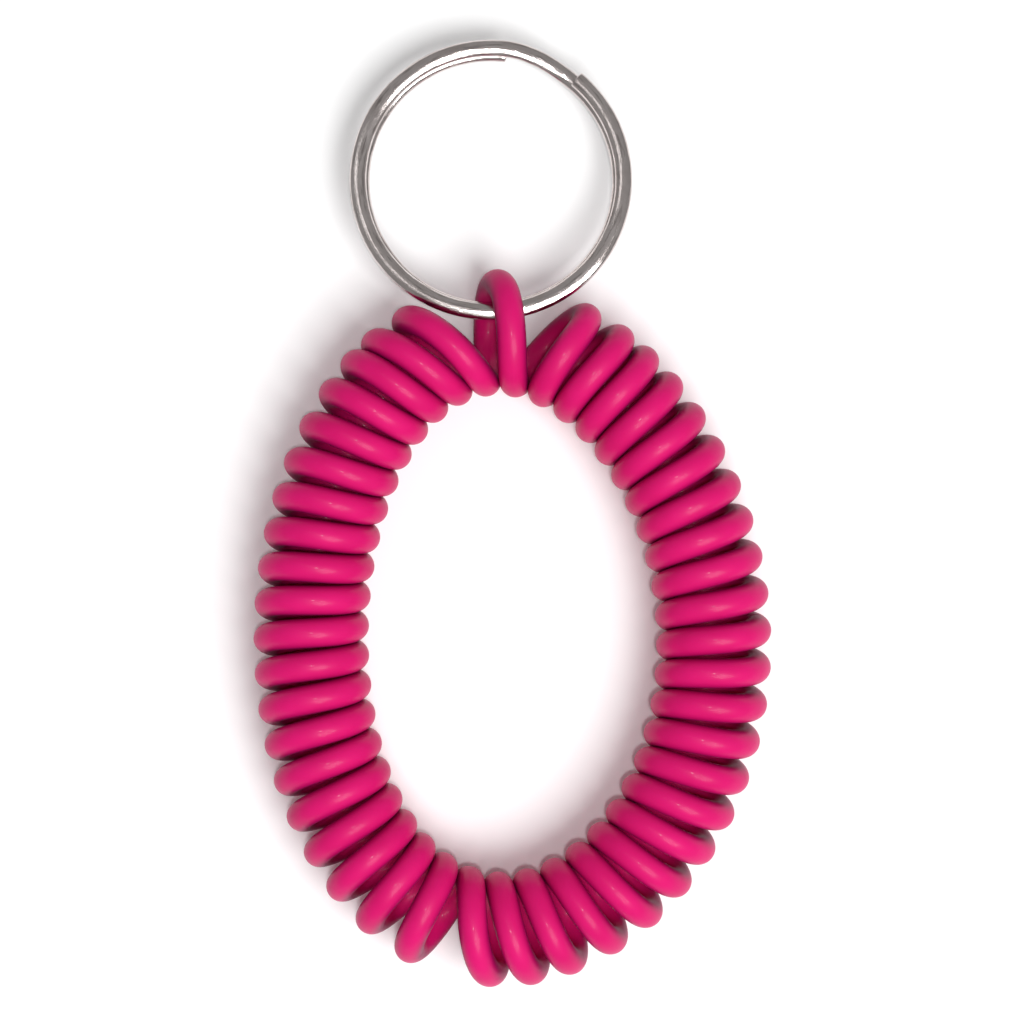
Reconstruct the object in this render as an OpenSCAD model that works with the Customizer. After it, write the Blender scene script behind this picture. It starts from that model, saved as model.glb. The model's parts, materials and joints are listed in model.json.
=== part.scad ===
// Wrist coil with a split ring: one soft plastic cord wound into a coil, bent into an oval
// loop and joined end to end, with a two-turn spring steel ring threaded through its top turn.
// The loop lies flat on XY, its top turn towards +Y, and the coil rests on z = 0.

/* [Loop] */
// Width of the loop across the outside of its coil
loop_w = 54.8; // [45:0.1:70]
// Height of the loop across the outside of its coil
loop_h = 74.8; // [60:0.1:92]
// How far the top of the oval leans to the left, as a share of its radius
loop_lean = 0.006; // [0:0.002:0.02]
// How much fuller the oval's two left corners are than its two right ones
loop_egg = 0.016; // [0:0.002:0.02]
// How much more pointed the oval is at its top than at its foot
loop_taper = 0.006; // [0:0.002:0.02]

/* [Cord] */
// Diameter of the cord
cord_d = 3.05; // [2.5:0.05:3.7]
// Outside diameter of the coil that the cord is wound into
coil_d = 12.15; // [10.4:0.05:15]
// Gap between neighbouring turns at the inside of the loop
turn_gap = 0.09; // [0.04:0.01:0.3]
// Where round the loop the second loose turn is, as a share of all turns
bottom_share = 0.477; // [0.46:0.001:0.5]
// How far the ring pushes the outside of the turns beside it away on the left
top_lean = 2.5; // [0:0.1:2.6]
// Number of turns over which that push dies away on the left
left_reach = 1.7; // [1:0.1:3]
// How far it pushes them on the right
right_lean = 1.7; // [0:0.1:2.2]
// Number of turns over which that push dies away on the right
right_reach = 1.8; // [1:0.1:3]
// How far the ring has pulled the top turn out of line
top_pull = 1.2; // [0:0.1:1.2]
// How far the top turn leans over to the left
top_set = 0.5; // [0:0.1:0.8]
// How far every turn's outer end falls short of halfway to the next turn
short_lean = 0.2; // [0:0.05:0.4]
// How much further than a plain helix the ends of a turn curl round, as a share of the pitch
curl = 0.016; // [0:0.002:0.02]
// How far the turn after the bottom gap leans away from it
bottom_lean = 1.5; // [0:0.1:2]
// Number of turns over which that lean dies away after the gap
bottom_reach = 1.2; // [0.5:0.1:1.5]
// Share of that lean which the turns before the gap take the other way
lean_back = 0.1; // [0:0.05:0.4]
// Where the cord bends when the loop is pulled long, as shares of all turns
bend_shares = [0.16, 0.32, 0.67, 0.84];

/* [Split ring] */
// Outside diameter of the split ring
ring_d = 30; // [25:0.5:36]
// Width of the ring's wire, measured across the ring
wire_w = 1.8; // [1.4:0.1:2]
// Thickness of the ring's wire, measured along the ring's axis
wire_h = 1.1; // [0.8:0.05:1.2]
// Gap between the ring's two turns where they lie on each other
wire_gap = 0.06; // [0.04:0.01:0.2]
// Chamfer along the wire's edges
wire_chamfer = 0.3; // [0.1:0.05:0.4]
// Angle of the crank, where the wire steps from one turn to the other
crank_deg = 33; // [24:1:40]
// Where the crank is round the ring, from +X
crank_at = 50; // [0:1:90]
// How far the ring's middle stands to the left of the loop's
ring_shift = 2.3; // [0:0.1:2.3]
// How much smaller the ring's lower turn is than its upper one, on the radius
turn_nest = 0.3; // [0:0.05:0.4]
// Gap between the ring's wire and the inside of the top turn
ring_play = 0.42; // [0.3:0.01:0.6]
// How far the ring leans down from level, gripped by the turns it passes between
ring_tilt = 4; // [0:0.5:6]

/* [Hidden] */

cord_colour = [0.85, 0.1, 0.42];
steel_colour = [0.72, 0.71, 0.69];

// The cord is an octagon with the area of the round cord, with flats towards its neighbours.
cord_sides = 8;
rings_a_turn = 16;
cord_flat = cord_d/2*sqrt(PI/(cord_sides*tan(180/cord_sides)));
cord_corner = cord_flat/cos(180/cord_sides);
mid_z = coil_d/2;                  // height of the coil's own axis
turn_r = (coil_d - cord_d)/2;      // radius of a turn to the middle of the cord

// The coil's axis: an ellipse whose radius swells and shrinks a little round its way.
function swell(t) = loop_egg*cos(3*t) - loop_taper*sin(3*t) - loop_lean*sin(2*t);
function raw_oval(t) = [cos(t), sin(t)]*(1 + swell(t));
oval_step = 1;   // degrees
raw_points = [for (t = [0:oval_step:359]) raw_oval(t)];
raw_x = [for (p = raw_points) p.x];
raw_y = [for (p = raw_points) p.y];
scale_x = (loop_w - coil_d)/(max(raw_x) - min(raw_x));
scale_y = (loop_h - coil_d)/(max(raw_y) - min(raw_y));
mid_x = (max(raw_x) + min(raw_x))/2*scale_x;
mid_y = (max(raw_y) + min(raw_y))/2*scale_y;
function oval(t) = let (p = raw_oval(t)) [p.x*scale_x - mid_x, p.y*scale_y - mid_y];

function unit(v) = v/norm(v);
function oval_along(t) = unit(oval(t + 0.01) - oval(t - 0.01));
function oval_out(t) = let (a = oval_along(t)) [a.y, -a.x];
function inner_point(t) = oval(t) - turn_r*oval_out(t);

// Distance run along the inside of the loop, from the top turn's place, against the oval's angle.
start_t = 86;
function inner_step(i) = norm(inner_point(start_t + i + 1) - inner_point(start_t + i));
inner_run = [for (i = 0, s = 0; i <= 360; s = s + inner_step(i), i = i + 1) [s, start_t + i]];
inner_length = inner_run[360][0];
function angle_at(s) = let (w = (s % inner_length + inner_length) % inner_length) lookup(w, inner_run);

// The turns stand side by side along that inside length, as close as the gap lets them.
turns = floor(inner_length/(cord_d + turn_gap));
pitch = inner_length/turns;
bottom_turn = round(turns*bottom_share);

// Besides the helix's own advance, the outer end of a turn leans this much further round the loop.
bottom_near = 3;   // turns to each side of the bottom gap that lean away from it
function fade(n, reach) = exp(-pow(n/reach, 2));
function lean(k) =
    -short_lean + (
    k == 0 ? top_set
    : k < bottom_turn - bottom_near ? top_lean*fade(k - 1, left_reach)
    : k < bottom_turn ? -lean_back*bottom_lean*fade(bottom_turn - 1 - k, left_reach)
    : k < bottom_turn + bottom_near ? bottom_lean*fade(k - bottom_turn, bottom_reach)
    : -right_lean*fade(turns - 1 - k, right_reach));

// The middle of the cord, a share v round turn k: inside, front, outside, back and inside again.
function run_at(k, v) = pitch*(k + v + curl*sin(720*v)) + lean(k)*(1 - cos(360*v))/2;
function pull(k, v) = k == 0 ? top_pull*(1 - cos(360*v))/2 : 0;
function cord_at(k, v) =
    let (t = angle_at(run_at(k, v)), c = oval(t) + (pull(k, v) - turn_r*cos(360*v))*oval_out(t))
    [c.x, c.y, mid_z + turn_r*sin(360*v)];

function ring_of(p, along, side, r, n) =
    let (e1 = unit(side - (side*along)*along), e2 = cross(e1, along))
    [for (i = [0:n - 1]) let (a = 360*(i + 0.5)/n) p + r*(cos(a)*e1 + sin(a)*e2)];

// A closed tube through rings of points, with a flat cap at each end.
module skin(rings) {
    n = len(rings[0]);
    m = len(rings);
    points = [for (r = rings) each r];
    walls = [for (j = [0:m - 2]) for (i = [0:n - 1])
             [j*n + i, j*n + (i + 1)%n, (j + 1)*n + (i + 1)%n, (j + 1)*n + i]];
    quads = [for (q = walls) each [[q[0], q[1], q[2]], [q[0], q[2], q[3]]]];
    first = [[for (i = [n - 1:-1:0]) i]];
    last = [[for (i = [0:n - 1]) (m - 1)*n + i]];
    polyhedron(points = points, faces = concat(quads, first, last));
}

// The cord from one half turn to another, counted from the top, with level ends.
step_v = 0.005;   // share of a turn over which the cord's direction is taken
module cord(from_half, to_half) {
    steps = (to_half - from_half)*rings_a_turn/2;
    rings = [for (j = [0:steps])
        let (h = from_half + 2*j/rings_a_turn,
             k = min(floor(h/2), floor((to_half - step_v)/2)),
             v = h/2 - k,
             way = cord_at(k, min(v + step_v, 1)) - cord_at(k, max(v - step_v, 0)),
             along = j == 0 || j == steps ? [0, 0, sign(cos(360*v))] : unit(way),
             t = angle_at(run_at(k, v)),
             side = [oval_along(t).x, oval_along(t).y, 0])
        ring_of(cord_at(k, v), along, side, cord_corner, cord_sides)];
    skin(rings);
}

// The halves at which the cord bends: an inside end is even, an outside end is odd.
function outer_half(share) = 2*round(turns*share) + 1;
left_high = outer_half(bend_shares[0]);
left_low = outer_half(bend_shares[1]);
right_low = outer_half(bend_shares[2]);
right_high = outer_half(bend_shares[3]);

module top_turn() color(cord_colour) cord(0, 2);
module upper_left_coil() color(cord_colour) cord(2, left_high);
module left_coil() color(cord_colour) cord(left_high, left_low);
module lower_left_coil() color(cord_colour) cord(left_low, 2*bottom_turn);
module lower_right_coil() color(cord_colour) cord(2*bottom_turn, right_low);
module right_coil() color(cord_colour) cord(right_low, right_high);
module upper_right_coil() color(cord_colour) cord(right_high, 2*turns);

// The ring's wire lies against the outer side of the top turn's hole.
hole_r = turn_r - cord_corner;
wire_stack = 2*wire_h + wire_gap;
wire_reach = sqrt(pow(hole_r - ring_play, 2) - pow(wire_stack/2 - wire_chamfer, 2)) + turn_nest/2;
ring_mid_r = (ring_d - wire_w)/2;
hole_mid = (cord_at(0, 0) + cord_at(0, 0.5))/2 + [0, top_pull/2, 0];
wire_out = wire_reach - wire_w/2;

ring_step = 7.5;   // degrees from one section of the wire to the next
wire_turns_deg = 720 - crank_deg;
function smooth(x) = let (c = min(max(x, 0), 1)) c*c*(3 - 2*c);
// How far the wire has climbed, a degrees along it: the lower turn, the crank, the upper turn.
function climb(a) = smooth((a - 360 + crank_deg)/crank_deg);
function wire_z(a) = (wire_h + wire_gap)*(climb(a) - 0.5);
function wire_r(a) = ring_mid_r - turn_nest*(1 - climb(a));
wire_section = [
    [-wire_w/2, -wire_h/2 + wire_chamfer], [-wire_w/2 + wire_chamfer, -wire_h/2],
    [wire_w/2 - wire_chamfer, -wire_h/2], [wire_w/2, -wire_h/2 + wire_chamfer],
    [wire_w/2, wire_h/2 - wire_chamfer], [wire_w/2 - wire_chamfer, wire_h/2],
    [-wire_w/2 + wire_chamfer, wire_h/2], [-wire_w/2, wire_h/2 - wire_chamfer]];

module split_ring()
    color(steel_colour)
    translate([-ring_shift, hole_mid.y, hole_mid.z])
    rotate([-ring_tilt, 0, 0])
    translate([0, wire_out + ring_mid_r, 0])
    skin([for (a = [0:ring_step:wire_turns_deg])
          let (b = crank_at + crank_deg + a)
          [for (q = wire_section)
           [(wire_r(a) + q.x)*cos(b), (wire_r(a) + q.x)*sin(b), wire_z(a) + q.y]]]);

top_turn();
upper_left_coil();
left_coil();
lower_left_coil();
lower_right_coil();
right_coil();
upper_right_coil();
split_ring();
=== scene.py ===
import bpy
import json
import numpy as np
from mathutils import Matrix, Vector


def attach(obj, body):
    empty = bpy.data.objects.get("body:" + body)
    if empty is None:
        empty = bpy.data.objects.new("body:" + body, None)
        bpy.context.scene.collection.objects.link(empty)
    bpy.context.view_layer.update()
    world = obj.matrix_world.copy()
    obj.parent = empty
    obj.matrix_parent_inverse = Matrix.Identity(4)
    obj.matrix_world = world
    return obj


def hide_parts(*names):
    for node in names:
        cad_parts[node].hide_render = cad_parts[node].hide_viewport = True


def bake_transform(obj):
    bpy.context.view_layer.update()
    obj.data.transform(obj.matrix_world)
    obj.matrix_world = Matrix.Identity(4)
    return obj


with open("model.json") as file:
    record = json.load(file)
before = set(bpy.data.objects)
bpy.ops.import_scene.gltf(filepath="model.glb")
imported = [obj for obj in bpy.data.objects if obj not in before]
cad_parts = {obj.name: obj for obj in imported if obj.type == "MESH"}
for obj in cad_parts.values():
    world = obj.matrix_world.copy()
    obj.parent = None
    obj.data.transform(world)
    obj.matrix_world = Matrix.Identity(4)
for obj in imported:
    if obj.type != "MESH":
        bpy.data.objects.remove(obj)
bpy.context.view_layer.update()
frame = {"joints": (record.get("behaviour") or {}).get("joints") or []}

# Everything is in metres. The loop lies flat on z = 0 with its top turn towards +Y.

wristCoil = {
    "loopWidth": 0.0548, "loopHeight": 0.0748,      # outside the coil
    "lean": 0.006, "egg": 0.016, "taper": 0.006,    # how the oval swells and shrinks round its way
    "coilThickness": 0.01215,                       # outside diameter of the coil
    "cordThickness": 0.00312,
    "spacingThickness": 0.00305, "turnGap": 0.00009,  # what spaces the turns, inside the loop
    # how far a turn's ends curl round past a plain helix
    "curl": 0.016,
    # how far each outer end falls short of halfway on
    "shortLean": 0.0002,
    "topSet": 0.0005, "topPull": 0.0012,            # how the ring holds the top turn
    "topLean": 0.0025, "leftReach": 1.7, "rightLean": 0.0017, "rightReach": 1.8,
    "bottomShare": 0.477,                           # where the second loose turn is
    "bottomLean": 0.0015, "bottomReach": 1.2, "leanBack": 0.1, "leanTurns": 3,
    "startDegrees": 86,
    "ringsATurn": 96, "sides": 40,
    "degreeStep": 0.01, "shareStep": 0.001,         # how far to each side a direction is taken over
    "solidSides": 8,                                # sides of the solid model's own cord
    # half turns where the mesh is cut down each side
    "leftCut": 22, "rightCut": 67,
}


def unit(vectors):  # each row divided by its own length
    return vectors/np.linalg.norm(vectors, axis=-1, keepdims=True)


def rawOval(degrees):  # the unit circle, its radius swollen by three small waves
    a = np.radians(degrees)
    c = wristCoil
    swell = 1 + c["egg"]*np.cos(3*a) - c["taper"]*np.sin(3*a) - c["lean"]*np.sin(2*a)
    return np.stack([np.cos(a)*swell, np.sin(a)*swell], -1)


wholeDegrees = np.arange(360.0)
rawLow, rawHigh = rawOval(wholeDegrees).min(0), rawOval(wholeDegrees).max(0)
ovalSize = np.array([wristCoil["loopWidth"], wristCoil["loopHeight"]]) - wristCoil["coilThickness"]
ovalScale = ovalSize/(rawHigh - rawLow)
ovalMiddle = (rawHigh + rawLow)/2*ovalScale
turnRadius = (wristCoil["coilThickness"] - wristCoil["spacingThickness"])/2
coilHeight = wristCoil["coilThickness"]/2


def oval(degrees):  # the coil's own axis, seen from above
    return rawOval(degrees)*ovalScale - ovalMiddle


def ovalAlong(degrees):  # the direction of that axis
    step = wristCoil["degreeStep"]
    return unit(oval(degrees + step) - oval(degrees - step))


def ovalOut(degrees):  # square to it, pointing out of the loop
    along = ovalAlong(degrees)
    return np.stack([along[..., 1], -along[..., 0]], -1)


# The distance run along the inside of the loop, against the oval's angle.
walkDegrees = wristCoil["startDegrees"] + np.arange(361.0)
walkPoints = oval(walkDegrees) - turnRadius*ovalOut(walkDegrees)
walkRun = np.concatenate([[0], np.cumsum(np.linalg.norm(np.diff(walkPoints, axis=0), axis=1))])
innerLength = walkRun[-1]
turns = int(innerLength/(wristCoil["spacingThickness"] + wristCoil["turnGap"]))
pitch = innerLength/turns
bottomTurn = round(turns*wristCoil["bottomShare"])


def turnLean(turn):
    # How far the outer end of each turn is pushed on round the loop: a bell curve of the number of
    # turns away from the ring, on either side, and from the loose turn at the foot.
    c = wristCoil
    left = c["topLean"]*np.exp(-((turn - 1)/c["leftReach"])**2)
    before = -c["leanBack"]*c["bottomLean"]*np.exp(-((bottomTurn - 1 - turn)/c["leftReach"])**2)
    after = c["bottomLean"]*np.exp(-((turn - bottomTurn)/c["bottomReach"])**2)
    right = -c["rightLean"]*np.exp(-((turns - 1 - turn)/c["rightReach"])**2)
    near = c["leanTurns"]
    places = [turn == 0, turn < bottomTurn - near, turn < bottomTurn, turn < bottomTurn + near]
    return np.select(places, [c["topSet"], left, before, after], right) - c["shortLean"]


def cordMiddle(turn, share):
    # A circle round the coil's axis, once a turn, while the place along the loop goes on evenly by
    # one pitch a turn, with a small double wave that curls the ends and a lean at the outer end.
    swing = (1 - np.cos(2*np.pi*share))/2
    run = pitch*(turn + share + wristCoil["curl"]*np.sin(4*np.pi*share)) + turnLean(turn)*swing
    degrees = np.interp(run % innerLength, walkRun, walkDegrees)
    reach = np.where(turn == 0, wristCoil["topPull"]*swing, 0) - turnRadius*np.cos(2*np.pi*share)
    flat = oval(degrees) + reach[..., None]*ovalOut(degrees)
    height = coilHeight + turnRadius*np.sin(2*np.pi*share)
    return np.concatenate([flat, height[..., None]], -1), degrees


def coilMiddle(half):  # the coil's own axis beside a half turn
    turn = np.array([half//2])
    return (*oval(cordMiddle(turn, half/2 - turn)[1])[0], coilHeight)


def gridFaces(rows, columns):  # quads of a tube whose rows are rings
    row, column = np.meshgrid(np.arange(rows - 1), np.arange(columns), indexing="ij")
    nextColumn = (column + 1) % columns
    quads = np.stack([row*columns + column, row*columns + nextColumn,
                      (row + 1)*columns + nextColumn, (row + 1)*columns + column], -1)
    return quads.reshape(-1, 4)


def tubePiece(name, rings, alongValues, flip=False):
    # Rings of points joined into a closed tube, with a flat face at each end whose rim is sharp.
    # Its UV map runs along the tube in one direction and once round it in the other.
    rows, columns = rings.shape[:2]
    quads = gridFaces(rows, columns)
    firstCap, lastCap = np.arange(columns)[::-1], (rows - 1)*columns + np.arange(columns)
    if flip:
        quads, firstCap, lastCap = quads[:, ::-1], firstCap[::-1], lastCap[::-1]
    mesh = bpy.data.meshes.new(name)
    faces = quads.tolist() + [firstCap.tolist(), lastCap.tolist()]
    mesh.from_pydata(rings.reshape(-1, 3).tolist(), [], faces)
    loops = np.zeros(len(mesh.loops), np.int32)
    mesh.loops.foreach_get("vertex_index", loops)
    u, v = alongValues[loops//columns], (loops % columns)/columns
    wrapped = v[:len(quads)*4].reshape(-1, 4)   # the last column's faces end at 1, not back at 0
    wrapped[(wrapped.max(1) - wrapped.min(1) > 0.5)[:, None] & (wrapped < 0.5)] += 1
    v[:len(quads)*4] = wrapped.ravel()
    layer = mesh.uv_layers.new(name="alongAndRound")
    layer.data.foreach_set("uv", np.stack([u, v], -1).astype(np.float32).ravel())
    mesh.polygons.foreach_set("use_smooth", np.ones(len(mesh.polygons), bool))
    ends = np.zeros(len(mesh.edges)*2, np.int32)
    mesh.edges.foreach_get("vertices", ends)
    ends = ends.reshape(-1, 2)//columns
    sharp = (ends[:, 0] == ends[:, 1]) & ((ends[:, 0] == 0) | (ends[:, 0] == rows - 1))
    mesh.attributes.new("sharp_edge", "BOOLEAN", "EDGE").data.foreach_set("value", sharp)
    mesh.update()
    piece = bpy.data.objects.new(name, mesh)
    bpy.context.scene.collection.objects.link(piece)
    return piece


def cordPiece(name, fromHalf, toHalf):
    # A round section carried along the cord from one half turn to another. Its two end faces are
    # level and meet the next piece face to face.
    steps = (toHalf - fromHalf)*wristCoil["ringsATurn"]//2
    halves = fromHalf + 2*np.arange(steps + 1)/wristCoil["ringsATurn"]
    turn = np.minimum(np.floor(halves/2), (toHalf - 1)//2)
    share = halves/2 - turn
    step = wristCoil["shareStep"]
    middle, degrees = cordMiddle(turn, share)
    way = unit(cordMiddle(turn, share + step)[0] - cordMiddle(turn, share - step)[0])
    way[0] = (0, 0, 1 - 2*(fromHalf % 2))
    way[-1] = (0, 0, 1 - 2*(toHalf % 2))
    beside = np.concatenate([ovalAlong(degrees), np.zeros((len(degrees), 1))], -1)
    beside = unit(beside - (beside*way).sum(-1, keepdims=True)*way)
    across = np.cross(beside, way)
    a = 2*np.pi*np.arange(wristCoil["sides"])/wristCoil["sides"]
    section = np.cos(a)[:, None]*beside[:, None] + np.sin(a)[:, None]*across[:, None]
    return tubePiece(name, middle[:, None] + wristCoil["cordThickness"]/2*section, halves/2)


splitRing = {
    "outside": 0.030, "wireWidth": 0.0018, "wireHeight": 0.0011, "layerGap": 0.00006,
    # from +X, where one turn's wire climbs to the other
    "crankDegrees": 33, "crankAt": 50,
    "shift": 0.0023, "nest": 0.0003, "play": 0.00042, "tiltDegrees": 4,
    # what the wire's corner needs in the cord's hole
    "cornerCut": 0.0003,
    "roundness": 2.1,                               # 2 is an ellipse, more is squarer
    "stepDegrees": 1.5, "sides": 36, "endRound": 0.00022,
    "endSteps": (0, 0.08, 0.3, 0.62, 1.0),          # sections close together at a rounded end
}


def smoothStep(x):  # three squares less two cubes: rises from 0 to 1 and is level at both
    x = np.clip(x, 0, 1)
    return x*x*(3 - 2*x)


def ringPiece(name):
    # A rounded oblong carried round two turns: the lower one, then a crank, then the upper one.
    r = splitRing
    # The solid cord has flat sides and a round cord's area, so its corners reach in a little more.
    half = np.pi/wristCoil["solidSides"]
    cordCorner = wristCoil["spacingThickness"]/2*np.sqrt(half/np.tan(half))/np.cos(half)
    holeRadius = turnRadius - cordCorner
    stack = 2*r["wireHeight"] + r["layerGap"]
    reach = np.sqrt((holeRadius - r["play"])**2 - (stack/2 - r["cornerCut"])**2) + r["nest"]/2
    midRadius = (r["outside"] - r["wireWidth"])/2
    wireOut = reach - r["wireWidth"]/2
    tilt = np.radians(r["tiltDegrees"])
    wireDegrees = 720 - r["crankDegrees"]
    endAngle = np.degrees(r["endRound"]/midRadius)
    ease = np.array(r["endSteps"])*endAngle
    count = int(wireDegrees/r["stepDegrees"])
    between = np.linspace(endAngle, wireDegrees - endAngle, count)
    degrees = np.concatenate([ease[:-1], between, wireDegrees - ease[:-1][::-1]])
    fromEnd = np.minimum(degrees, wireDegrees - degrees)/endAngle
    quarter = 1 - np.sqrt(1 - (1 - np.clip(fromEnd, 0, 1))**2)     # a quarter circle at each end
    shrink = 1 - r["endRound"]*quarter/(r["wireHeight"]/2)
    climb = smoothStep((degrees - 360 + r["crankDegrees"])/r["crankDegrees"])
    height = (r["wireHeight"] + r["layerGap"])*(climb - 0.5)
    radius = midRadius - r["nest"]*(1 - climb)
    a = 2*np.pi*np.arange(r["sides"])/r["sides"]
    power = 2/r["roundness"]
    sectionOut = r["wireWidth"]/2*np.sign(np.cos(a))*np.abs(np.cos(a))**power
    sectionUp = r["wireHeight"]/2*np.sign(np.sin(a))*np.abs(np.sin(a))**power
    # Ends are rounded by the same amount all round, not by the same share.
    outInset = 1 - (1 - shrink)*r["wireHeight"]/r["wireWidth"]
    turned = np.radians(r["crankAt"] + r["crankDegrees"] + degrees)[:, None]
    far = radius[:, None] + sectionOut*outInset[:, None]
    flat = np.stack([far*np.cos(turned), far*np.sin(turned) + wireOut + midRadius,
                     height[:, None] + sectionUp*shrink[:, None]], -1)
    lean = np.array([[1, 0, 0], [0, np.cos(tilt), np.sin(tilt)],
                     [0, -np.sin(tilt), np.cos(tilt)]])
    hole = [joint["pos_m"] for joint in frame["joints"] if joint["name"] == "ring_swing"][0]
    rings = flat @ lean.T + np.array([-r["shift"], hole[1], hole[2]])
    return tubePiece(name, rings, np.radians(degrees)*midRadius/r["wireWidth"], flip=True)


shadeGroups = {}


def newGroup(name, inputs, outputs):
    group = bpy.data.node_groups.new(name, "ShaderNodeTree")
    for label, kind, value in inputs:
        socket = group.interface.new_socket(name=label, in_out="INPUT", socket_type=kind)
        if value is not None:
            socket.default_value = value
    for label, kind in outputs:
        group.interface.new_socket(name=label, in_out="OUTPUT", socket_type=kind)
    shadeGroups[name] = group
    return group, group.nodes.new("NodeGroupInput"), group.nodes.new("NodeGroupOutput")


def addNode(tree, kind, values=None, **settings):
    node = tree.nodes.new(kind)
    for key, value in settings.items():
        setattr(node, key, value)
    for key, value in (values or {}).items():
        node.inputs[key].default_value = value
    return node


def buildToneDrift():
    # Soft large-scale clouds: how much deeper the colour is in some places than in others.
    group, given, result = newGroup(
        "toneDrift", [("Vector", "NodeSocketVector", None), ("Scale", "NodeSocketFloat", 120.0)],
        [("Mask", "NodeSocketFloat")])
    noise = addNode(group, "ShaderNodeTexNoise", {"Detail": 3.0, "Roughness": 0.55})
    spread = addNode(group, "ShaderNodeMapRange", {"From Min": 0.3, "From Max": 0.7})
    group.links.new(given.outputs["Vector"], noise.inputs["Vector"])
    group.links.new(given.outputs["Scale"], noise.inputs["Scale"])
    group.links.new(noise.outputs["Fac"], spread.inputs["Value"])
    group.links.new(spread.outputs["Result"], result.inputs["Mask"])


def buildHandlingMarks():
    # Fine rubbed lines and specks that dull a glossy surface: stretched noise, sharpened.
    group, given, result = newGroup(
        "handlingMarks",
        [("Vector", "NodeSocketVector", None), ("Stretch", "NodeSocketVector", (1.0, 1.0, 1.0)),
         ("Scale", "NodeSocketFloat", 900.0), ("Amount", "NodeSocketFloat", 0.5)],
        [("Mask", "NodeSocketFloat"), ("Height", "NodeSocketFloat")])
    stretch = addNode(group, "ShaderNodeVectorMath", operation="MULTIPLY")
    lines = addNode(group, "ShaderNodeTexNoise", {"Detail": 5.0, "Roughness": 0.6})
    sharpen = addNode(group, "ShaderNodeMapRange", {"From Min": 0.52, "From Max": 0.72})
    amount = addNode(group, "ShaderNodeMath", operation="MULTIPLY")
    group.links.new(given.outputs["Vector"], stretch.inputs[0])
    group.links.new(given.outputs["Stretch"], stretch.inputs[1])
    group.links.new(stretch.outputs[0], lines.inputs["Vector"])
    group.links.new(given.outputs["Scale"], lines.inputs["Scale"])
    group.links.new(lines.outputs["Fac"], sharpen.inputs["Value"])
    group.links.new(sharpen.outputs["Result"], amount.inputs[0])
    group.links.new(given.outputs["Amount"], amount.inputs[1])
    group.links.new(amount.outputs[0], result.inputs["Mask"])
    group.links.new(lines.outputs["Fac"], result.inputs["Height"])


def buildPaintedTurnShade():
    # Mask for the painted shade between turns: how squarely a turn's surface faces its neighbours,
    # the size of the cosine once round the cord, raised to a power.
    group, given, result = newGroup(
        "paintedTurnShade", [("Vector", "NodeSocketVector", None), ("Narrowness", "NodeSocketFloat", 5.0)],
        [("Mask", "NodeSocketFloat")])
    parts = addNode(group, "ShaderNodeSeparateXYZ")
    angle = addNode(group, "ShaderNodeMath", {1: 2*np.pi}, operation="MULTIPLY")
    cosine = addNode(group, "ShaderNodeMath", operation="COSINE")
    size = addNode(group, "ShaderNodeMath", operation="ABSOLUTE")
    power = addNode(group, "ShaderNodeMath", operation="POWER")
    group.links.new(given.outputs["Vector"], parts.inputs["Vector"])
    group.links.new(parts.outputs["Y"], angle.inputs[0])
    group.links.new(angle.outputs[0], cosine.inputs[0])
    group.links.new(cosine.outputs[0], size.inputs[0])
    group.links.new(size.outputs[0], power.inputs[0])
    group.links.new(given.outputs["Narrowness"], power.inputs[1])
    group.links.new(power.outputs[0], result.inputs["Mask"])


def placeGroup(tree, name, values):
    node = tree.nodes.new("ShaderNodeGroup")
    node.node_tree = shadeGroups[name]
    for key, value in values.items():
        node.inputs[key].default_value = value
    return node


def newMaterial(name):
    material = bpy.data.materials.new(name)
    material.use_nodes = True
    tree = material.node_tree
    return material, tree, tree.nodes["Principled BSDF"]


softPlastic = {
    "colour": (0.66, 0.007, 0.148, 1.0), "deepColour": (0.58, 0.005, 0.123, 1.0),
    "paintedShadeColour": (0.26, 0.001, 0.070, 1.0),        # painted shade where a turn faces its neighbours
    "paintedShadeNarrowness": 5.0,                          # more keeps that painted shade closer to the gaps
    "roughness": (0.42, 0.52), "gloss": 0.08, "glossRoughness": 0.13,
    "glow": 0.05, "glowReach": (0.0016, 0.0003, 0.0006),
    "cloudScale": 160.0, "grainScale": 2600.0, "grainDepth": 0.00001,
    "grainStrength": 0.6, "rubScale": 700.0,
    "ior": 1.48, "specular": 0.13,
}


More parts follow.
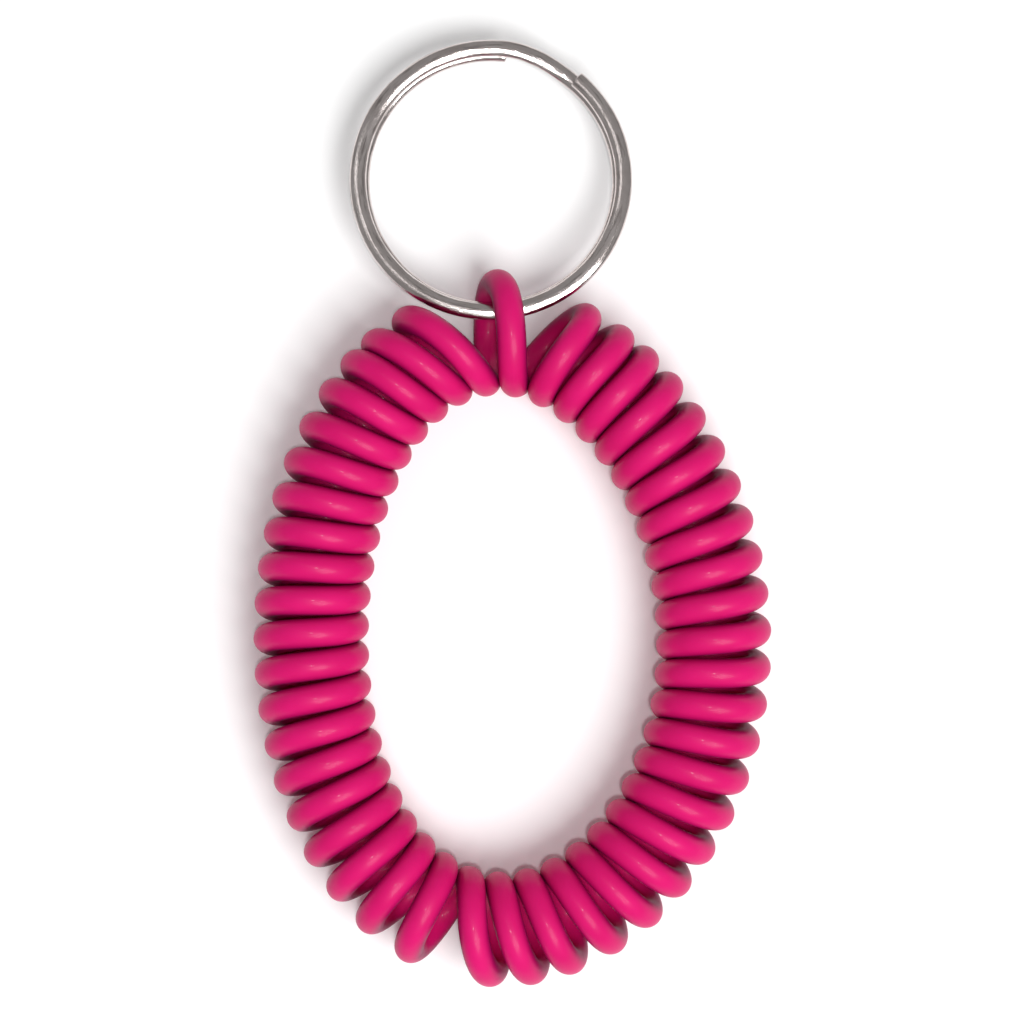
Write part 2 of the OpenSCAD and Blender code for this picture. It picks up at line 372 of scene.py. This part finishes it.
def softPlasticMaterial():
    p = softPlastic
    material, tree, shader = newMaterial("magentaSoftPlastic")
    place = addNode(tree, "ShaderNodeTexCoord")
    clouds = placeGroup(tree, "toneDrift", {"Scale": p["cloudScale"]})
    marks = placeGroup(tree, "handlingMarks", {"Scale": p["rubScale"], "Amount": 1.0})
    tree.links.new(place.outputs["Object"], clouds.inputs["Vector"])
    tree.links.new(place.outputs["Object"], marks.inputs["Vector"])
    tone = addNode(tree, "ShaderNodeMix", data_type="RGBA")
    tone.inputs["A"].default_value = p["colour"]
    tone.inputs["B"].default_value = p["deepColour"]
    tree.links.new(clouds.outputs["Mask"], tone.inputs["Factor"])
    # The sides of each turn that face its neighbours are painted darker, as painted shade between
    # turns.
    sides = placeGroup(tree, "paintedTurnShade", {"Narrowness": p["paintedShadeNarrowness"]})
    shaded = addNode(tree, "ShaderNodeMix", data_type="RGBA")
    shaded.inputs["B"].default_value = p["paintedShadeColour"]
    tree.links.new(place.outputs["UV"], sides.inputs["Vector"])
    tree.links.new(sides.outputs["Mask"], shaded.inputs["Factor"])
    tree.links.new(tone.outputs["Result"], shaded.inputs["A"])
    tree.links.new(shaded.outputs["Result"], shader.inputs["Base Color"])
    dull = addNode(tree, "ShaderNodeMapRange", {
        "To Min": p["roughness"][0], "To Max": p["roughness"][1]})
    tree.links.new(marks.outputs["Mask"], dull.inputs["Value"])
    tree.links.new(dull.outputs["Result"], shader.inputs["Roughness"])
    grain = addNode(tree, "ShaderNodeTexNoise", {"Scale": p["grainScale"], "Detail": 2.0})
    bump = addNode(tree, "ShaderNodeBump", {
        "Strength": p["grainStrength"], "Distance": p["grainDepth"]})
    tree.links.new(place.outputs["Object"], grain.inputs["Vector"])
    tree.links.new(grain.outputs["Fac"], bump.inputs["Height"])
    tree.links.new(bump.outputs["Normal"], shader.inputs["Normal"])
    shader.inputs["Subsurface Weight"].default_value = p["glow"]
    shader.inputs["Subsurface Radius"].default_value = p["glowReach"]
    shader.inputs["Subsurface Scale"].default_value = 1.0
    shader.inputs["IOR"].default_value = p["ior"]
    shader.inputs["Specular IOR Level"].default_value = p["specular"]
    shader.inputs["Coat Weight"].default_value = p["gloss"]
    shader.inputs["Coat Roughness"].default_value = p["glossRoughness"]
    return material


nickelPlate = {
    "colour": (0.79, 0.72, 0.70, 1.0), "dullColour": (0.62, 0.55, 0.53, 1.0),
    "streakColour": (0.26, 0.22, 0.21, 1.0),        # long dark streaks left by drawing the wire
    "streakStretch": (0.10, 2.6, 1.0), "streakScale": 5.0,
    "streakAmount": 0.9, "streakDepth": 0.00004,
    "roughness": (0.13, 0.26),
    "drawnStretch": (0.35, 30.0, 1.0), "drawnScale": 5.0,
    "cloudScale": 260.0,
}


def nickelPlateMaterial():
    n = nickelPlate
    material, tree, shader = newMaterial("nickelPlatedSteel")
    place = addNode(tree, "ShaderNodeTexCoord")
    clouds = placeGroup(tree, "toneDrift", {"Scale": n["cloudScale"]})
    drawn = placeGroup(tree, "handlingMarks", {
        "Stretch": n["drawnStretch"], "Scale": n["drawnScale"], "Amount": 1.0})
    tree.links.new(place.outputs["Object"], clouds.inputs["Vector"])
    tree.links.new(place.outputs["UV"], drawn.inputs["Vector"])
    tone = addNode(tree, "ShaderNodeMix", data_type="RGBA")
    tone.inputs["A"].default_value = n["colour"]
    tone.inputs["B"].default_value = n["dullColour"]
    tree.links.new(clouds.outputs["Mask"], tone.inputs["Factor"])
    streaks = placeGroup(tree, "handlingMarks", {
        "Stretch": n["streakStretch"], "Scale": n["streakScale"],
        "Amount": n["streakAmount"]})
    streaked = addNode(tree, "ShaderNodeMix", data_type="RGBA")
    streaked.inputs["B"].default_value = n["streakColour"]
    tree.links.new(place.outputs["UV"], streaks.inputs["Vector"])
    tree.links.new(streaks.outputs["Mask"], streaked.inputs["Factor"])
    tree.links.new(tone.outputs["Result"], streaked.inputs["A"])
    tree.links.new(streaked.outputs["Result"], shader.inputs["Base Color"])
    dull = addNode(tree, "ShaderNodeMapRange", {
        "To Min": n["roughness"][0], "To Max": n["roughness"][1]})
    tree.links.new(drawn.outputs["Mask"], dull.inputs["Value"])
    tree.links.new(dull.outputs["Result"], shader.inputs["Roughness"])
    bump = addNode(tree, "ShaderNodeBump", {"Strength": 1.0, "Distance": n["streakDepth"]})
    tree.links.new(streaks.outputs["Height"], bump.inputs["Height"])
    tree.links.new(bump.outputs["Normal"], shader.inputs["Normal"])
    shader.inputs["Metallic"].default_value = 1.0
    return material


paleFloor = {
    "size": 3.0, "colour": (0.93, 0.93, 0.93, 1.0), "roughness": 0.75, "specular": 0.2,
}


def floorPiece():
    f = paleFloor
    half = f["size"]/2
    mesh = bpy.data.meshes.new("tableTop")
    corners = [(-half, -half, 0), (half, -half, 0), (half, half, 0), (-half, half, 0)]
    mesh.from_pydata(corners, [], [(0, 1, 2, 3)])
    material, _, shader = newMaterial("paleTable")
    shader.inputs["Base Color"].default_value = f["colour"]
    shader.inputs["Roughness"].default_value = f["roughness"]
    shader.inputs["Specular IOR Level"].default_value = f["specular"]
    mesh.materials.append(material)
    floor = bpy.data.objects.new("tableTop", mesh)
    bpy.context.scene.collection.objects.link(floor)


studio = {
    "softboxes": {
        "mainBox": {"at": (0.28, -0.32, 0.78), "size": (0.5, 0.5), "watts": 7.1},
        "highKey": {"at": (0.02, -0.01, 0.75), "size": (0.035, 0.035), "watts": 1.1},
        "edgeStrip": {"at": (-0.24, 0.2, 0.8), "size": (0.09, 0.4), "watts": 0.16},
    },
    "aim": (0, 0.01, 0),
    "roomLight": 0.30, "roomColour": (1.0, 1.0, 1.0, 1.0),
}


def buildStudio():
    for name, box in studio["softboxes"].items():
        light = bpy.data.lights.new(name, "AREA")
        light.shape = "RECTANGLE"
        light.size, light.size_y = box["size"]
        light.energy = box["watts"]
        lamp = bpy.data.objects.new(name, light)
        lamp.location = box["at"]
        towards = Vector(studio["aim"]) - Vector(box["at"])
        lamp.rotation_euler = towards.to_track_quat("-Z", "Y").to_euler()
        bpy.context.scene.collection.objects.link(lamp)
    world = bpy.data.worlds.new("paleRoom")
    world.use_nodes = True
    background = world.node_tree.nodes["Background"]
    background.inputs["Color"].default_value = studio["roomColour"]
    background.inputs["Strength"].default_value = studio["roomLight"]
    bpy.context.scene.world = world
    bpy.context.scene.view_settings.view_transform = "Standard"


topCamera = {
    "at": (-0.00005, 0.0129), "distance": 0.4,      # above the coil's axis
    "viewWidth": 0.1085, "sensor": 36.0, "near": 0.01, "far": 10,
}


def buildCamera():
    c = topCamera
    data = bpy.data.cameras.new("aboveCamera")
    data.sensor_width = c["sensor"]
    data.lens = c["sensor"]*c["distance"]/c["viewWidth"]
    data.clip_start, data.clip_end = c["near"], c["far"]
    camera = bpy.data.objects.new("aboveCamera", data)
    camera.location = (*c["at"], coilHeight + c["distance"])
    bpy.context.scene.collection.objects.link(camera)
    bpy.context.scene.camera = camera


buildToneDrift()
buildHandlingMarks()
buildPaintedTurnShade()
softPlasticCoat = softPlasticMaterial()
nickelPlateCoat = nickelPlateMaterial()
print("materials made")

# The cord is cut at its top turn, at its foot and halfway down each side. A run that lies across a
# bend between two bodies is left fixed where it is made, not carried by a body: name, first and
# last half turn, the half turns the bend lies between, its bodies, the solids it stands for.
leftCut, rightCut = wristCoil["leftCut"], wristCoil["rightCut"]
foot, end = 2*bottomTurn, 2*turns
cordRuns = [
    ("topTurnCord", 0, 2, None,
     ["top_turn"], ["top_turn"]),
    ("upperLeftCord", 2, leftCut, (9, 21),
     ["upper_left_coil", "left_coil"], ["upper_left_coil", "left_coil"]),
    ("lowerLeftCord", leftCut, foot, (23, 35),
     ["left_coil", "lower_left_coil"], ["lower_left_coil"]),
    ("lowerRightCord", foot, rightCut, (51, 66),
     ["lower_right_coil", "right_coil"], ["lower_right_coil"]),
    ("upperRightCord", rightCut, end, (68, 81),
     ["right_coil", "upper_right_coil"], ["right_coil", "upper_right_coil"]),
]
for name, fromHalf, toHalf, bend, bodies, nodes in cordRuns:
    piece = cordPiece(name, fromHalf, toHalf)
    piece.data.materials.append(softPlasticCoat)
    if bend:
        coilMiddle(bend[0])
        coilMiddle(bend[1])
        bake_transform(piece)
    else:
        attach(piece, bodies[0])
    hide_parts(*nodes)
    print(name, "made,", len(piece.data.polygons), "faces")

ring = ringPiece("splitRingWire")
ring.data.materials.append(nickelPlateCoat)
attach(ring, "split_ring")
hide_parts("split_ring")
print("split ring made")

floorPiece()
buildStudio()
buildCamera()
print("table, lights and camera in place")
